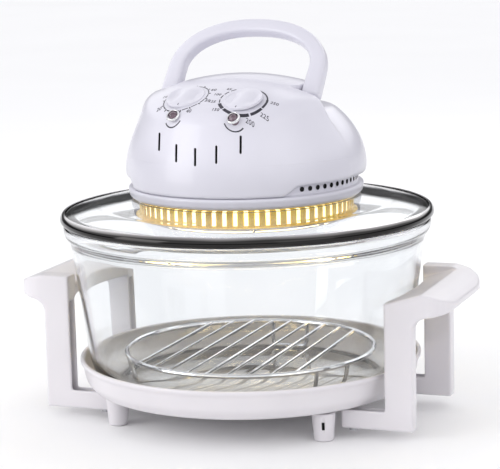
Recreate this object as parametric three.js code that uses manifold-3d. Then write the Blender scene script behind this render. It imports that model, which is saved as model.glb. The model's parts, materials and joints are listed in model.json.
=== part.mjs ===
// Glass-bowl convection oven: a glass bowl in a white stand with two side handles, and a round
// glass lid that carries the motor, fan, ring lamp and controls under a white top housing.
// Millimetres, +Z up, the front is -Y. The origin is on the floor, on the bowl's axis.
import * as THREE from "three";
import { mergeVertices } from "three/addons/utils/BufferGeometryUtils.js";
import Module from "manifold-3d";

const wasm = await Module();
wasm.setup();

// ---------- driving dimensions ----------
const GAP = 0.3; // between pieces that rest on each other
const FINE = 40; // facets round a large circle
const COARSE = 20; // facets round a small one

const TRAY_R = 154;
const TRAY_RIM_Z = 55;
const TRAY_FLOOR_Z = 28; // the face that the bowl stands on
const TRAY_WALL = 3;
const FOOT_RING_R = 126.6;
const FOOT_ANGLE = 40.4; // from the X axis
const FOOT_TOP_R = 10.5;
const FOOT_TIP_R = 8.5;

const BOWL_WALL = 4.5;
const BOWL_BASE_R = 118;
const BOWL_FOOT_Z = TRAY_FLOOR_Z + GAP;
const BOWL_RIM_Z = 177;
const BOWL_RIM_R = 164.5;

const LID_R = 167.5;
const LID_GLASS = 4;
const LID_HOLE_R = 97.5; // the head's skirt hangs through this hole in the glass
const LID_CREST_Z = 198.6;

const SKIRT_R = 95.5;
const SKIRT_FOOT_Z = 180.8;
const SKIRT_WALL = 1.2;
const SKIRT_SLOTS = 48;
const RING_TOP_Z = 208.5;
const RING_FOOT_Z = 199;
const RING_R = 105.4;
const NECK_R = 100.2;
const NECK_TOP_Z = 218.6;
const PLATE_Z = 200; // underside of the motor plate

const DOME_R = 107.8; // half width of the housing at its widest
const DOME_Z = 224; // height of its widest part
const DOME_RISE = 77; // the housing's side is a quarter ellipse of this height
const DOME_FOOT_Z = 217.5;
const FRONT_TUCK = 0.065; // how far the front of that ellipse is drawn in
const APRON_FOOT_Z = 209.2; // the front reaches down over the neck to here
const APRON_HALF = 50; // degrees to each side of the front
const SHELL = 3;
const LEDGE_Z = 277; // the folded carry handle lies on it
const POD_FOOT_R = 104.4; // the control pod is a cone that narrows upwards
const POD_EDGE_R = 89.8;
const POD_EDGE_Z = 279;
const CREST_Z = 305.8; // the pod's top is a shallow double curve
const CREST_RADIUS_Y = 147;
const CREST_RADIUS_X = 216;
const SADDLE_X = 59.3; // half width of the housing between the handle's legs
const SADDLE_BACK = 50;
const SADDLE_POWER = 2.6; // squares the oval of its plan
const LEG_GAP_Y = -20; // the handle's legs stand behind this

const HEAD_YAW = -5; // degrees: how the head is turned on the bowl
const PANEL_TILT = 24; // degrees from level
const PANEL_X = 2.8; // the middle of the controls, from the head's middle
const DIAL_X = 27.5;
const DIAL_Y = -64;
const KNOB_R = 17;
const INDICATOR_X = 28.6;
const INDICATOR_Y = -85.5;
const INDICATOR_DROP = 3.2; // the panel's front edge rolls down below its crest here
const INDICATOR_TILT = 46;

const PIVOT_Y = -6; // the carry handle's pins
const PIVOT_Z = 290.6;
const BAIL_X = 68.8; // centre of each leg
const BAIL_LEG = 22; // straight length above the pivot
const BAIL_ARCH = 43.7; // rise of the arch above that
const BAIL_BAR = 13; // thickness at the top of the arch
const BAIL_FOOT = 16; // width of each leg
const BAIL_DEPTH = 14;
const BAIL_LEAN = 36.8; // degrees back from upright

// ---------- materials ----------
const material = (color, roughness, metalness) =>
  new THREE.MeshStandardMaterial({ color, roughness, metalness });
const white = material(0xe6e6ec, 0.35, 0);
const glass = Object.assign(material(0xdfe9e6, 0.05, 0), { transparent: true, opacity: 0.3 });
const steel = material(0xc9c9cc, 0.12, 1);
const dullSteel = material(0x9a9a9e, 0.4, 1);
const gold = material(0xe8b64a, 0.25, 1);
const ceramic = material(0xe9e4d8, 0.6, 0);
const black = material(0x18181a, 0.5, 0);
const smoke = material(0x57464f, 0.1, 0);
const lampGlow = new THREE.MeshStandardMaterial({ color: 0xfff0c0, emissive: 0xffd070, roughness: 0.1 });

// ---------- helpers ----------
const radians = THREE.MathUtils.degToRad;
const point = (x, y) => new THREE.Vector2(x, y);

/** A closed three.js geometry as a solid, without its zero-area triangles. */
function solid(geometry) {
  const bare = geometry.index ? geometry.toNonIndexed() : geometry.clone();
  bare.deleteAttribute("normal");
  bare.deleteAttribute("uv");
  const merged = mergeVertices(bare, 1e-3);
  const index = merged.index.array;
  const kept = [];
  for (let i = 0; i < index.length; i += 3) {
    const [a, b, c] = [index[i], index[i + 1], index[i + 2]];
    if (a !== b && b !== c && c !== a) kept.push(a, b, c);
  }
  return new wasm.Manifold(
    new wasm.Mesh({
      numProp: 3,
      vertProperties: merged.attributes.position.array,
      triVerts: new Uint32Array(kept),
    }),
  );
}

/** A solid as a three.js geometry. */
function geometryOf(body) {
  const mesh = body.getMesh();
  const geometry = new THREE.BufferGeometry();
  geometry.setAttribute("position", new THREE.BufferAttribute(new Float32Array(mesh.vertProperties), 3));
  geometry.setIndex(new THREE.BufferAttribute(new Uint32Array(mesh.triVerts), 1));
  geometry.computeVertexNormals();
  return geometry;
}

const union = (...bodies) => bodies.reduce((all, body) => all.add(body));
const cut = (body, ...tools) => tools.reduce((left, tool) => left.subtract(tool), body);

/** A solid of revolution about Z from [radius, height] pairs, in either order, closed on itself. */
function lathe(profile, segments = FINE) {
  let area = 0;
  profile.forEach(([r, z], i) => {
    const [nextR, nextZ] = profile[(i + 1) % profile.length];
    area += r * nextZ - nextR * z;
  });
  const ordered = area > 0 ? profile : [...profile].reverse();
  const loop = [...ordered, ordered[0]].map(([r, z]) => point(r, z));
  return solid(new THREE.LatheGeometry(loop, segments).rotateX(Math.PI / 2));
}

/** An upright cylinder or cone from height z0 to z1. */
function cylinder(radius, z0, z1, x = 0, y = 0, segments = COARSE, topRadius = radius) {
  const geometry = new THREE.CylinderGeometry(topRadius, radius, z1 - z0, segments);
  return solid(geometry.rotateX(Math.PI / 2).translate(x, y, (z0 + z1) / 2));
}

/** A box between two corners. */
function box([x0, y0, z0], [x1, y1, z1]) {
  const geometry = new THREE.BoxGeometry(x1 - x0, y1 - y0, z1 - z0);
  return solid(geometry.translate((x0 + x1) / 2, (y0 + y1) / 2, (z0 + z1) / 2));
}

/** An outline in plan, as points, extruded from height z0 to z1. */
function prism(outline, z0, z1) {
  const shape = new THREE.Shape(outline);
  const block = new THREE.ExtrudeGeometry(shape, { depth: z1 - z0, bevelEnabled: false });
  return solid(block.translate(0, 0, z0));
}

/** A round ring of wire about Z. */
const wireRing = (radius, z, wire, segments = 32) =>
  solid(new THREE.TorusGeometry(radius, wire, 4, segments).translate(0, 0, z));

/** A straight round wire between two points. */
function wireBetween(from, to, wire, segments = 5) {
  const a = new THREE.Vector3(...from);
  const b = new THREE.Vector3(...to);
  const along = b.clone().sub(a);
  const upright = new THREE.Vector3(0, 1, 0);
  const turn = new THREE.Quaternion().setFromUnitVectors(upright, along.clone().normalize());
  const geometry = new THREE.CylinderGeometry(wire, wire, along.length(), segments);
  const middle = a.add(b).multiplyScalar(0.5);
  return solid(geometry.applyQuaternion(turn).translate(...middle.toArray()));
}

/** A wedge in plan that spans the angles from a0 to a1, in degrees, out to the given radius. */
function wedge(a0, a1, radius, z0, z1) {
  const steps = 8;
  const outline = [point(0, 0)];
  for (let i = 0; i <= steps; i++) {
    const a = radians(a0 + ((a1 - a0) * i) / steps);
    outline.push(point(radius * Math.cos(a), radius * Math.sin(a)));
  }
  return prism(outline, z0, z1);
}

/** x, y at a radius and an angle in degrees. */
const polar = (radius, angle) => [radius * Math.cos(radians(angle)), radius * Math.sin(radians(angle))];

const root = new THREE.Group();
const head = new THREE.Group();
head.rotation.z = radians(HEAD_YAW);
root.add(head);

/** Adds a named piece to a group. */
function piece(group, name, body, look) {
  const mesh = new THREE.Mesh(geometryOf(body), look);
  mesh.name = name;
  group.add(mesh);
  return mesh;
}

// ---------- stand: tray, feet and side handles ----------
const TRAY_UNDER_Z = TRAY_FLOOR_Z - TRAY_WALL;

function tray() {
  const bosses = [-1, 1].flatMap((sideX) =>
    [-1, 1].map((sideY) => {
      const [x, y] = [sideX * SCREW_X, sideY * SCREW_Y];
      const sleeve = cylinder(3.6, ARM_Z + CHANNEL + GAP, TRAY_UNDER_Z + 1, x, y, 12);
      return cut(sleeve, cylinder(2.3, ARM_Z, ARM_Z + 9, x, y, 12));
    }),
  );
  const dish = lathe([
    [0, TRAY_UNDER_Z],
    [132, TRAY_UNDER_Z],
    [143, TRAY_UNDER_Z + 3],
    [149.5, TRAY_UNDER_Z + 11],
    [152.5, TRAY_RIM_Z - 5],
    [TRAY_R, TRAY_RIM_Z],
    [TRAY_R - 2.5, TRAY_RIM_Z],
    [149.5, TRAY_RIM_Z - 5],
    [146.5, TRAY_FLOOR_Z + 10],
    [141, TRAY_FLOOR_Z + 3],
    [131, TRAY_FLOOR_Z],
    [0, TRAY_FLOOR_Z],
  ]);
  return union(dish, ...bosses);
}

const ARM_Z = 8;
const ARM_TOP_Z = 24.5;
const ARM_INNER_X = 108;
const POST_INNER_X = 147;
const POST_OUTER_X = 172;
const POST_FRONT_Y = 56; // faces of each post, to each side of the middle
const POST_BACK_Y = 70;
const GRIP_UNDER_Z = 107.5;
const GRIP_TOP_Z = 129;
const GRIP_REACH = 204;
const CHANNEL = 2.6; // wall of the arms' and posts' open channels
const SCREW_X = 117;
const SCREW_Y = (POST_FRONT_Y + POST_BACK_Y) / 2;

/** A leg of the stand: a round peg that tapers to a flat foot. */
function foot(sideX, sideY) {
  const [x, y] = polar(FOOT_RING_R, FOOT_ANGLE);
  const profile = [
    [0, 0],
    [FOOT_TIP_R - 2, 0],
    [FOOT_TIP_R, 2],
    [FOOT_TOP_R, TRAY_UNDER_Z - GAP],
    [0, TRAY_UNDER_Z - GAP],
  ];
  return lathe(profile, COARSE).translate(sideX * x, sideY * y, 0);
}

/** A moulded side handle: two channelled arms, two channelled posts and a grip scooped from one end. */
function sideHandle(side) {
  const plan = new THREE.Shape();
  plan.moveTo(POST_INNER_X, -POST_BACK_Y);
  plan.lineTo(178, -POST_BACK_Y);
  plan.quadraticCurveTo(GRIP_REACH, -POST_BACK_Y + 2, GRIP_REACH, -24);
  plan.lineTo(GRIP_REACH, 24);
  plan.quadraticCurveTo(GRIP_REACH, POST_BACK_Y - 2, 178, POST_BACK_Y);
  plan.lineTo(POST_INNER_X, POST_BACK_Y);
  const block = new THREE.ExtrudeGeometry(plan, { depth: 60, bevelEnabled: false, curveSegments: 8 });
  const slab = solid(block.translate(0, 0, 80));
  const section = new THREE.Shape(
    [
      [POST_INNER_X - 1, GRIP_UNDER_Z],
      [188, GRIP_UNDER_Z],
      [199, GRIP_UNDER_Z + 2],
      [203.5, GRIP_UNDER_Z + 5],
      [203.5, 117],
      [198, 121.5],
      [188, 126],
      [175, GRIP_TOP_Z],
      [POST_INNER_X - 1, GRIP_TOP_Z],
    ].map(([x, z]) => point(x, z)),
  );
  const bar = new THREE.ExtrudeGeometry(section, { depth: 2 * POST_BACK_Y, bevelEnabled: false });
  const grip = solid(bar.rotateX(Math.PI / 2).translate(0, POST_BACK_Y, 0)).intersect(slab);
  const dip = [[140, 117], [152, 119.5], [187, 130], [187, 140], [140, 140]].map(([x, z]) => point(x, z));
  const scoop = new THREE.ExtrudeGeometry(new THREE.Shape(dip), {
    depth: POST_BACK_Y + POST_FRONT_Y,
    bevelEnabled: false,
  });
  const scoopCut = solid(scoop.rotateX(Math.PI / 2).translate(0, POST_FRONT_Y - 4, 0));
  const beams = [-1, 1].flatMap((end) => {
    const [y0, y1] = end < 0 ? [-POST_BACK_Y, -POST_FRONT_Y] : [POST_FRONT_Y, POST_BACK_Y];
    const post = box([POST_INNER_X, y0, ARM_Z], [POST_OUTER_X, y1, GRIP_UNDER_Z + 4]);
    const arm = box([ARM_INNER_X, y0, ARM_Z], [POST_OUTER_X, y1, ARM_TOP_Z]);
    const gusset = [[171, 96], [174, 102], [179, 106], [188, 109], [171, 109]].map(([x, z]) => point(x, z));
    const web = new THREE.ExtrudeGeometry(new THREE.Shape(gusset), { depth: y1 - y0, bevelEnabled: false });
    return [post, arm, solid(web.rotateX(Math.PI / 2).translate(0, y1, 0))];
  });
  const hollows = [-1, 1].flatMap((end) => {
    const sign = (a, b) => (end < 0 ? [-b, -a] : [a, b]);
    const [y0, y1] = sign(POST_FRONT_Y + CHANNEL, POST_BACK_Y - CHANNEL);
    const floor = ARM_Z + CHANNEL;
    const inPost = box([POST_INNER_X - 1, y0, floor], [POST_OUTER_X - CHANNEL, y1, GRIP_UNDER_Z - 2]);
    const inArm = box([ARM_INNER_X + CHANNEL, y0, floor], [POST_INNER_X + 1, y1, ARM_TOP_Z + 1]);
    return [inPost, inArm, cylinder(2.4, 0, 20, SCREW_X, end * SCREW_Y, 12)];
  });
  const bowlRoom = cylinder(157, 0, 140, 0, 0, 96);
  const right = cut(union(cut(grip, scoopCut, bowlRoom), ...beams), ...hollows);
  return side > 0 ? right : right.rotate([0, 0, 180]);
}

/** The pan-head screw that holds an arm up against its boss under the tray. */
function armScrew(sideX, sideY) {
  const [x, y] = [sideX * SCREW_X, sideY * SCREW_Y];
  const screwHead = cylinder(3.6, ARM_Z - 2.6, ARM_Z - GAP, x, y, 12);
  return union(screwHead, cylinder(2, ARM_Z - 1, ARM_Z + 8, x, y, 12));
}

piece(root, "tray", tray(), white);
for (const [name, sideX, sideY] of [
  ["foot_front_left", -1, -1],
  ["foot_front_right", 1, -1],
  ["foot_rear_left", -1, 1],
  ["foot_rear_right", 1, 1],
]) {
  piece(root, name, foot(sideX, sideY), white);
  piece(root, name.replace("foot", "arm_screw"), armScrew(sideX, sideY), dullSteel);
}
piece(root, "side_handle_left", sideHandle(-1), white);
piece(root, "side_handle_right", sideHandle(1), white);

// ---------- bowl and rack ----------
const BOWL_FLOOR_Z = BOWL_FOOT_Z + BOWL_WALL;

function bowl() {
  return lathe([
    [0, BOWL_FOOT_Z],
    [BOWL_BASE_R, BOWL_FOOT_Z],
    [132, BOWL_FOOT_Z + 5],
    [141, BOWL_FOOT_Z + 14],
    [145, BOWL_FOOT_Z + 26],
    [158.5, 160],
    [BOWL_RIM_R, 169],
    [BOWL_RIM_R, BOWL_RIM_Z - 1],
    [BOWL_RIM_R - 1.5, BOWL_RIM_Z],
    [157, BOWL_RIM_Z],
    [154, 160],
    [145 - BOWL_WALL, BOWL_FOOT_Z + 26],
    [133, BOWL_FOOT_Z + 12],
    [BOWL_BASE_R, BOWL_FLOOR_Z],
    [0, BOWL_FLOOR_Z],
  ]);
}

const RACK_Z = 58;
const RACK_R = 112;
const RACK_WIRE = 1.8;

/** A low wire rack: two rings, parallel bars and three hoop legs. */
function rack() {
  const parts = [wireRing(RACK_R, RACK_Z, RACK_WIRE + 0.4, 30)];
  for (let i = -2; i <= 2; i++) {
    const x = i * 36;
    const half = Math.sqrt(RACK_R ** 2 - x ** 2);
    parts.push(wireBetween([x, -half, RACK_Z], [x, half, RACK_Z], RACK_WIRE));
  }
  for (let i = 0; i < 3; i++) {
    const foot = RACK_R - 4;
    const floor = BOWL_FLOOR_Z + GAP + RACK_WIRE;
    const [a, b] = [90 + i * 120 - 9, 90 + i * 120 + 9];
    parts.push(wireBetween([...polar(RACK_R, a), RACK_Z], [...polar(foot, a), floor], RACK_WIRE));
    parts.push(wireBetween([...polar(RACK_R, b), RACK_Z], [...polar(foot, b), floor], RACK_WIRE));
    parts.push(wireBetween([...polar(foot, a), floor], [...polar(foot, b), floor], RACK_WIRE));
    for (const angle of [a, b]) {
      const [x, y] = polar(foot, angle);
      parts.push(solid(new THREE.SphereGeometry(RACK_WIRE, 6, 4).translate(x, y, floor)));
    }
  }
  return union(...parts);
}

piece(root, "bowl", bowl(), glass);
piece(root, "rack", rack(), steel);

// ---------- lid: glass, rim band and retaining ring ----------
const LID_UNDER_Z = BOWL_RIM_Z + GAP; // the lid's rim rests here on the bowl's

/** A shallow glass cone with a hole for the head. */
function lidGlass() {
  return lathe([
    [LID_HOLE_R, LID_CREST_Z],
    [101, LID_CREST_Z - 0.2],
    [132, 192.5],
    [160.5, 186],
    [163, 184.9],
    [164.3, 183.5],
    [164.3, LID_UNDER_Z + 1.2],
    [158.5, LID_UNDER_Z + 1.2],
    [156, 183.2],
    [132, 192.5 - LID_GLASS],
    [101, LID_CREST_Z - 0.2 - LID_GLASS],
    [LID_HOLE_R, LID_CREST_Z - LID_GLASS],
  ]);
}

/** The folded steel band round the edge of the lid. */
function lidRimBand() {
  return lathe([
    [157.5, LID_UNDER_Z],
    [LID_R - 1.5, LID_UNDER_Z],
    [LID_R, LID_UNDER_Z + 2],
    [LID_R, LID_UNDER_Z + 6],
    [LID_R - 2, LID_UNDER_Z + 9],
    [162.5, LID_UNDER_Z + 9.8],
    [162.5, LID_UNDER_Z + 8.8],
    [166.3, LID_UNDER_Z + 6],
    [166.3, LID_UNDER_Z + 0.9],
    [157.5, LID_UNDER_Z + 0.9],
  ]);
}

piece(head, "lid_glass", lidGlass(), glass);
piece(head, "lid_rim_band", lidRimBand(), steel);

// ---------- lower head: skirt, guard, lamp and fan ----------
/** The slotted skirt that hangs through the lid's hole and lets the lamp shine out. */
function guardSkirt() {
  const wall = lathe([
    [SKIRT_R, RING_FOOT_Z - GAP],
    [SKIRT_R, SKIRT_FOOT_Z + 1.6],
    [SKIRT_R + 3.5, SKIRT_FOOT_Z + 0.9],
    [SKIRT_R + 3.5, SKIRT_FOOT_Z],
    [SKIRT_R - SKIRT_WALL, SKIRT_FOOT_Z],
    [SKIRT_R - SKIRT_WALL, RING_FOOT_Z - GAP],
  ], SKIRT_SLOTS);
  const slots = [];
  for (let i = 0; i < SKIRT_SLOTS; i++) {
    const slot = new THREE.BoxGeometry(8, 4.8, 12).translate(SKIRT_R, 0, 190.5);
    slots.push(solid(slot.rotateZ((2 * Math.PI * (i + 0.5)) / SKIRT_SLOTS)));
  }
  return cut(wall, ...slots);
}

/** The wire guard under the lamp and fan. */
function wireGuard() {
  const z = 171;
  const rimZ = SKIRT_FOOT_Z - GAP - 1.6;
  const rimR = 92.5;
  const parts = [wireRing(rimR, rimZ, 1.6, 30)];
  for (const radius of [22, 48, 74]) parts.push(wireRing(radius, z, 1.3, 20));
  for (let i = 0; i < 6; i++) {
    const angle = i * 60;
    parts.push(wireBetween([...polar(21, angle), z], [...polar(76, angle), z], 1.3));
    parts.push(wireBetween([...polar(75.5, angle), z], [...polar(rimR, angle), rimZ], 1.3));
  }
  return union(...parts);
}

/** The steel ring inside the top of the skirt that is screwed up to the base ring. */
const retainingRing = () =>
  lathe([
    [84, RING_FOOT_Z - GAP],
    [93.8, RING_FOOT_Z - GAP],
    [93.8, RING_FOOT_Z - 1.8],
    [84, RING_FOOT_Z - 1.8],
  ]);

/** The polished dish that throws the lamp's light down. */
const reflector = () =>
  lathe([
    [14, 197.6],
    [50, 197.6],
    [88, 195],
    [92, 192],
    [92, 191],
    [87.5, 194],
    [50, 196.6],
    [14, 196.6],
  ]);

/** The ring lamp's quartz tube, open at the rear where its two ends go into their holders. */
function lampTube() {
  const gapAngle = 12;
  const path = new THREE.ArcCurve(0, 0, 68, radians(90 + gapAngle), radians(450 - gapAngle), false);
  const points = path.getPoints(48).map((p) => new THREE.Vector3(p.x, p.y, 187));
  const section = new THREE.Shape(new THREE.EllipseCurve(0, 0, 4.5, 4.5).getPoints(8).slice(0, -1));
  const line = new THREE.CatmullRomCurve3(points);
  return solid(new THREE.ExtrudeGeometry(section, { steps: 56, extrudePath: line, bevelEnabled: false }));
}

/** A ceramic holder on one end of the lamp. */
function lampHolder(side) {
  const centre = 90 - side * 6.5;
  const block = new THREE.BoxGeometry(13, 8.5, 11).translate(68, 0, 188.3);
  return solid(block.rotateZ(radians(centre)));
}

/** A flat fan: a hub and curved blades as one plate. */
function fan(hubR, bladeR, z0, height, blades, sweep) {
  const parts = [cylinder(hubR, z0, z0 + height, 0, 0, 20)];
  for (let i = 0; i < blades; i++) {
    const a = (360 / blades) * i;
    const outline = [
      polar(hubR - 1.5, a - 10),
      polar(bladeR * 0.6, a + sweep * 0.4),
      polar(bladeR, a + sweep),
      polar(bladeR, a + sweep + 9),
      polar(bladeR * 0.6, a + sweep * 0.4 + 16),
      polar(hubR - 1.5, a + 22),
    ].map(([x, y]) => point(x, y));
    parts.push(prism(outline, z0 + 1, z0 + 2.5));
    const vane = new THREE.BoxGeometry(bladeR * 0.55, 1.4, height);
    vane.translate(bladeR * 0.72, 0, z0 + height / 2).rotateZ(radians(a + sweep * 0.75 + 8));
    parts.push(solid(vane));
  }
  return union(...parts);
}

const SHAFT_R = 2.5;
const MOTOR_Z = 214;
const HOT_FAN_Z = 180;
const COOL_FAN_Z = 252;

piece(head, "guard_skirt", guardSkirt(), gold);
piece(head, "wire_guard", wireGuard(), steel);
piece(head, "retaining_ring", retainingRing(), dullSteel);
piece(head, "reflector", reflector(), steel);
piece(head, "lamp_tube", lampTube(), lampGlow);
piece(head, "lamp_holder_left", lampHolder(-1), ceramic);
piece(head, "lamp_holder_right", lampHolder(1), ceramic);

// The shaft turns with both fans, which are cut back from it by a press fit's width.
const bore = (body, radius, z0, z1) => cut(body, cylinder(radius, z0, z1));
piece(head, "motor_shaft", cylinder(SHAFT_R, 176, 262), steel);
piece(head, "hot_air_fan", bore(fan(10, 44, HOT_FAN_Z, 9, 6, 24), SHAFT_R + GAP, 170, 200), steel);
piece(head, "cooling_fan", bore(fan(9, 34, COOL_FAN_Z, 8, 5, 24), SHAFT_R + GAP, 240, 270), black);

// ---------- base ring and motor plate ----------
const VENT_ANGLES = Array.from({ length: 12 }, (_, i) => 54 + i * 4.7);
const VENT_Z = 214;

/** The white ring under the housing, with the row of vent holes in its neck. */
function baseRing() {
  const ring = lathe([
    [92, RING_FOOT_Z],
    [102.5, RING_FOOT_Z],
    [104, RING_FOOT_Z + 2],
    [RING_R, RING_TOP_Z - 2],
    [RING_R - 0.6, RING_TOP_Z],
    [NECK_R, RING_TOP_Z + 0.6],
    [NECK_R, NECK_TOP_Z],
    [NECK_R - 2.6, NECK_TOP_Z],
    [NECK_R - 2.6, PLATE_Z + 3.6],
    [92, PLATE_Z + 3.6],
  ]);
  const vents = VENT_ANGLES.flatMap((angle) =>
    [-1, 1].map((side) => {
      const hole = new THREE.CylinderGeometry(2.3, 2.3, 12, 6).rotateZ(Math.PI / 2);
      return solid(hole.translate(NECK_R, 0, VENT_Z).rotateZ(radians(-90 + side * angle)));
    }),
  );
  return cut(ring, ...vents);
}

/** The steel plate that carries the motor, with a hole for its shaft and air holes round it. */
function motorPlate() {
  const holes = Array.from({ length: 6 }, (_, i) => {
    const [x, y] = polar(60, i * 60 + 30);
    return cylinder(6, 190, 210, x, y, 12);
  });
  return cut(cylinder(91.7, PLATE_Z, PLATE_Z + 1.5, 0, 0, FINE), cylinder(6, 190, 210), ...holes);
}

/** The fan motor: a round can on a square stack, with its shaft hole through it. */
function motor() {
  const can = cylinder(24, MOTOR_Z - 8, MOTOR_Z + 30);
  const stack = box([-29, -29, MOTOR_Z], [29, 29, MOTOR_Z + 20]);
  const nose = cylinder(10, MOTOR_Z - 12, MOTOR_Z + 34);
  return cut(union(can, stack, nose), cylinder(SHAFT_R + 0.5, 190, 270));
}

/** One of the two posts that hold the motor over its plate. */
const motorPost = (side) => cylinder(3.5, PLATE_Z + 1.5 + GAP, MOTOR_Z - GAP, side * 25, side * 25, 12);

piece(head, "base_ring", baseRing(), white);
piece(head, "motor_plate", motorPlate(), dullSteel);
piece(head, "motor", motor(), dullSteel);
piece(head, "motor_post_left", motorPost(-1), dullSteel);
piece(head, "motor_post_right", motorPost(1), dullSteel);

// ---------- top housing ----------
/** Eases from 0 to 1 as a value goes from one edge to the other. */
const ease = (value, from, to) => THREE.MathUtils.smoothstep(value, from, to);

/** Height of the pod's top surface. */
const crest = (x, y) => CREST_Z - y ** 2 / (2 * CREST_RADIUS_Y) - x ** 2 / (2 * CREST_RADIUS_X);

/** The round body, flat on top at the ledge and drawn in at the front; a margin makes its hollow. */
function domeForm(margin) {
  const profile = [[0, DOME_FOOT_Z - margin * 4]];
  profile.push([margin > 0 ? 103.4 : 105.2, DOME_FOOT_Z - margin * 4]);
  const steps = margin > 0 ? 5 : 8;
  const [wide, rise] = [DOME_R - margin, DOME_RISE - margin];
  const top = Math.asin((LEDGE_Z - margin - DOME_Z) / rise);
  for (let i = 0; i <= steps; i++) {
    const a = (top * i) / steps;
    profile.push([wide * Math.cos(a), DOME_Z + rise * Math.sin(a)]);
  }
  profile.push([0, LEDGE_Z - margin]);
  const points = profile.map(([r, z]) => point(r, z));
  const round = new THREE.LatheGeometry([...points, points[0]], margin > 0 ? 24 : FINE);
  round.rotateX(Math.PI / 2);
  const position = round.attributes.position;
  for (let i = 0; i < position.count; i++) {
    const [x, y] = [position.getX(i), position.getY(i)];
    const angle = THREE.MathUtils.radToDeg(Math.abs(Math.atan2(x, -y)));
    const scale = 1 - FRONT_TUCK * (1 - ease(angle, 25, 62));
    position.setXY(i, x * scale, y * scale);
  }
  return solid(round);
}

/** The control pod and the saddle behind it: a cone whose top is lifted to the crest. */
function podForm(margin) {
  const edge = POD_EDGE_R - margin;
  const rings = margin > 0 ? [edge, 60, 30, 0] : [edge, edge - 2, edge - 6, 70, 54, 38, 20, 0];
  const foot = APRON_FOOT_Z - margin * 4;
  const lid = rings.map((r) => point(r, POD_EDGE_Z));
  const profile = [point(0, foot), point(POD_FOOT_R - margin, foot), ...lid];
  const cone = new THREE.LatheGeometry([...profile, profile[0]], margin > 0 ? 24 : FINE);
  cone.rotateX(Math.PI / 2);
  const position = cone.attributes.position;
  for (let i = 0; i < position.count; i++) {
    if (position.getZ(i) < POD_EDGE_Z - 1) continue;
    const [x, y] = [position.getX(i), position.getY(i)];
    const outward = Math.hypot(x, y) - edge;
    const round = outward > -0.5 ? 6 : outward > -3 ? 2.4 : 0; // eases the outer edge down
    position.setZ(i, crest(x, y) - margin - round);
  }
  const [wide, back, gap] = [SADDLE_X - margin, SADDLE_BACK - margin, LEG_GAP_Y - margin];
  const plan = [point(-wide, gap), point(-120, gap), point(-120, -120), point(120, -120), point(120, gap)];
  plan.push(point(wide, gap));
  const steps = 16;
  for (let i = 0; i <= steps; i++) {
    const a = (Math.PI * i) / steps;
    const squared = (value) => Math.sign(value) * Math.abs(value) ** (2 / SADDLE_POWER);
    plan.push(point(wide * squared(Math.cos(a)), back * squared(Math.sin(a))));
  }
  const reach = union(
    prism(plan, DOME_FOOT_Z, 320),
    wedge(-90 - APRON_HALF, -90 + APRON_HALF, 130, 190, 240),
  );
  return solid(cone).intersect(reach);
}

/** Places a solid made about the origin, +Z out, on the sloping control panel. */
function onPanel(body, x, y, tilt = PANEL_TILT, drop = 0) {
  const place = PANEL_X + x;
  return body.rotate([tilt, 0, 0]).translate([place, y, crest(place, y) - drop]);
}

const SLOT_ANGLES = [-23.6, -11.3, 0, 11.3, 23.6];
const SLOT_PULL = 20; // all five slots are cut along one direction, this far round from the front
const slotHeight = (angle) => 244.2 + 10.4 * (angle / 23.6) ** 2;

function topHousing() {
  const outer = union(domeForm(0), podForm(0));
  const inner = union(domeForm(SHELL), podForm(SHELL));
  const neckRoom = cylinder(NECK_R + 0.8, 190, NECK_TOP_Z + 0.8, 0, 0, FINE);
  const slots = SLOT_ANGLES.map((angle) => {
    const slot = new THREE.BoxGeometry(30, 1.9, 15).rotateZ(radians(SLOT_PULL - 90));
    return solid(slot.translate(...polar(98, angle - 90), slotHeight(angle)));
  });
  const spindleHole = (x) => onPanel(cylinder(4.2, -15, 10, 0, 0, 16), x, DIAL_Y);
  const lightHole = (x) =>
    onPanel(cylinder(4.4, -15, 10, 0, 0, 16), x, INDICATOR_Y, INDICATOR_TILT, INDICATOR_DROP);
  const pinHole = wireBetween([-66, PIVOT_Y, PIVOT_Z], [66, PIVOT_Y, PIVOT_Z], 3.5, 16);
  const glandHole = wireBetween([0, 95, 240], [0, 115, 240], 6, 16);
  return cut(
    outer,
    inner,
    neckRoom,
    ...slots,
    spindleHole(-DIAL_X),
    spindleHole(DIAL_X),
    lightHole(-INDICATOR_X),
    lightHole(INDICATOR_X),
    pinHole,
    glandHole,
  );
}

piece(head, "top_housing", topHousing(), white);

/** The grommet where the mains lead enters at the rear. */
function cordGland() {
  const sleeve = wireBetween([0, 96, 240], [0, 112.5, 240], 5.6, 20);
  const collar = wireBetween([0, 109, 240], [0, 112.5, 240], 9, 20);
  return cut(union(sleeve, collar), wireBetween([0, 90, 240], [0, 120, 240], 3.6, 16));
}
piece(head, "cord_gland", cordGland(), black);

// ---------- controls ----------
/** A control knob: a dished disc with a raised grip bar across it and a pointer notch. */
function knob() {
  const disc = lathe(
    [
      [0, 0],
      [KNOB_R, 0],
      [KNOB_R, 2.2],
      [KNOB_R - 1.2, 3.4],
      [KNOB_R - 4, 3.2],
      [8, 2],
      [0, 2],
    ],
    28,
  );
  const ridge = [[-6, 0.5], [6, 0.5], [3, 5.6], [1.5, 6.6], [-1.5, 6.6], [-3, 5.6]];
  const bar = new THREE.ExtrudeGeometry(new THREE.Shape(ridge.map(([x, z]) => point(x, z))), {
    depth: 2 * KNOB_R - 4,
    bevelEnabled: false,
  });
  const grip = solid(bar.rotateX(Math.PI / 2).translate(0, KNOB_R - 2, 0));
  const pointer = box([-0.6, -KNOB_R - 1, 3], [0.6, -KNOB_R + 4.5, 12]);
  return cut(union(disc, grip), pointer, cylinder(3.3, -2, 4.5, 0, 0, 12));
}

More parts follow.
